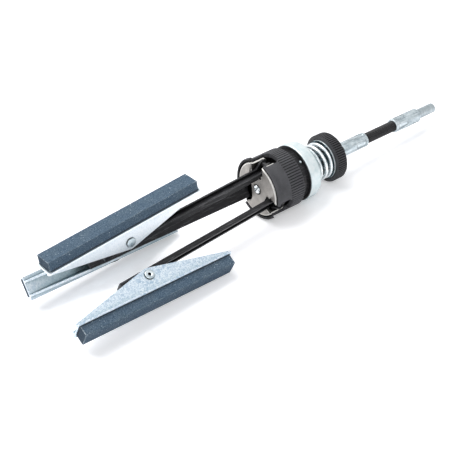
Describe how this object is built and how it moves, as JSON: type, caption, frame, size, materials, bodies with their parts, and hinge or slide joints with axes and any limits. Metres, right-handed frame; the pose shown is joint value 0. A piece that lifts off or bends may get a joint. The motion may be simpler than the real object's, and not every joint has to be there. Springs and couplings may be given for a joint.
{
  "type": "cylinder hone",
  "caption": "Spring-loaded cylinder hone with hinged spreading arms, self-aligning abrasive stones, a knurled tension nut and a flexible drive shaft.",
  "frame": {"origin": "on the tool's axis at the root of the drive shank, where it leaves the rear ferrule", "axes": "+X along the tool's axis, out of the shank's free end; +Z towards the top stone; the stones point to -X"},
  "size_m": [0.2984, 0.0691, 0.0514],
  "materials": {
    "abrasive": "fine-grit vitrified abrasive, slate blue",
    "zinc_sheet": "bright zinc-plated pressed sheet",
    "zinc_turned": "bright zinc-plated turned steel",
    "spring_steel": "bright zinc-plated spring wire",
    "black_oxide": "black oxide on pressed steel",
    "plate_steel": "bare grey pressed steel",
    "black_nylon": "charcoal moulded nylon",
    "cable_wire": "black wire-wound flexible shaft"
  },
  "bodies": {
    "spindle_body": {"spindle": "zinc_turned", "front_plate": "plate_steel", "collar": "black_nylon", "end_screw": "zinc_turned", "pivot_pin_1": "black_oxide", "pivot_pin_2": "black_oxide", "pivot_pin_3": "black_oxide", "front_ferrule": "zinc_turned", "drive_cable": "cable_wire"},
    "sleeve": {"thrust_sleeve": "black_oxide", "guide_pin": "zinc_turned", "spring_cup": "zinc_sheet", "tension_spring": "spring_steel"},
    "nut_carriage": {"thrust_washer": "zinc_sheet"},
    "nut": {"tension_nut": "black_nylon"},
    "drive_end": {"rear_ferrule": "zinc_turned", "drive_shank": "zinc_turned"},
    "arm_1": {"arm_1": "black_oxide", "holder_rivet_1": "zinc_turned"},
    "shoe_1": {"holder_1": "zinc_sheet", "stone_1": "abrasive"},
    "arm_2": {"arm_2": "black_oxide", "holder_rivet_2": "zinc_turned"},
    "shoe_2": {"holder_2": "zinc_sheet", "stone_2": "abrasive"},
    "arm_3": {"arm_3": "black_oxide", "holder_rivet_3": "zinc_turned"},
    "shoe_3": {"holder_3": "zinc_sheet", "stone_3": "abrasive"}
  },
  "joints": [
    {"name": "arm1_swing", "type": "hinge", "parent": "spindle_body", "child": "arm_1", "pos_m": [-0.1284, 0, 0.0139], "axis": [0, 1, 0], "range_deg": [0, 39]},
    {"name": "arm2_swing", "type": "hinge", "parent": "spindle_body", "child": "arm_2", "pos_m": [-0.1284, -0.01204, -0.00695], "axis": [0, -0.5, 0.866], "range_deg": [0, 31.7]},
    {"name": "arm3_swing", "type": "hinge", "parent": "spindle_body", "child": "arm_3", "pos_m": [-0.1284, 0.01204, -0.00695], "axis": [0, -0.5, -0.866], "range_deg": [0, 31.7]},
    {"name": "stone1_tilt", "type": "hinge", "parent": "arm_1", "child": "shoe_1", "pos_m": [-0.22991, 0, 0.00769], "axis": [0, -1, 0], "range_deg": [-13.4, 33.6]},
    {"name": "stone2_tilt", "type": "hinge", "parent": "arm_2", "child": "shoe_2", "pos_m": [-0.22988, -0.01787, -0.01032], "axis": [0, 0.5, -0.866], "range_deg": [-15.8, 31.2]},
    {"name": "stone3_tilt", "type": "hinge", "parent": "arm_3", "child": "shoe_3", "pos_m": [-0.22988, 0.01787, -0.01032], "axis": [0, 0.5, 0.866], "range_deg": [-15.4, 31.6]},
    {"name": "sleeve_slide", "type": "slide", "parent": "spindle_body", "child": "sleeve", "axis": [-1, 0, 0], "range_m": [0, 0.00483], "deforming": ["tension_spring"]},
    {"name": "nut_travel", "type": "slide", "parent": "spindle_body", "child": "nut_carriage", "axis": [1, 0, 0], "range_m": [-0.00126, 0.00376]},
    {"name": "nut_spin", "type": "hinge", "parent": "nut_carriage", "child": "nut", "pos_m": [-0.083, 0, 0], "axis": [1, 0, 0], "range_deg": [-360, 1080]},
    {"name": "shaft_bend", "type": "hinge", "parent": "spindle_body", "child": "drive_end", "pos_m": [-0.03445, 0, 0], "axis": [0, 1, 0], "range_deg": [-30, 30], "stiffness_Nm_per_rad": 1.5, "deforming": ["drive_cable"]}
  ],
  "couplings": [
    {"joint": "arm2_swing", "follows": "arm1_swing", "ratio": 0.81282},
    {"joint": "arm3_swing", "follows": "arm1_swing", "ratio": 0.81282},
    {"joint": "sleeve_slide", "follows": "arm1_swing", "m_per_rad": 0.0070594},
    {"joint": "nut_travel", "follows": "nut_spin", "m_per_rad": 0.00019894}
  ]
}
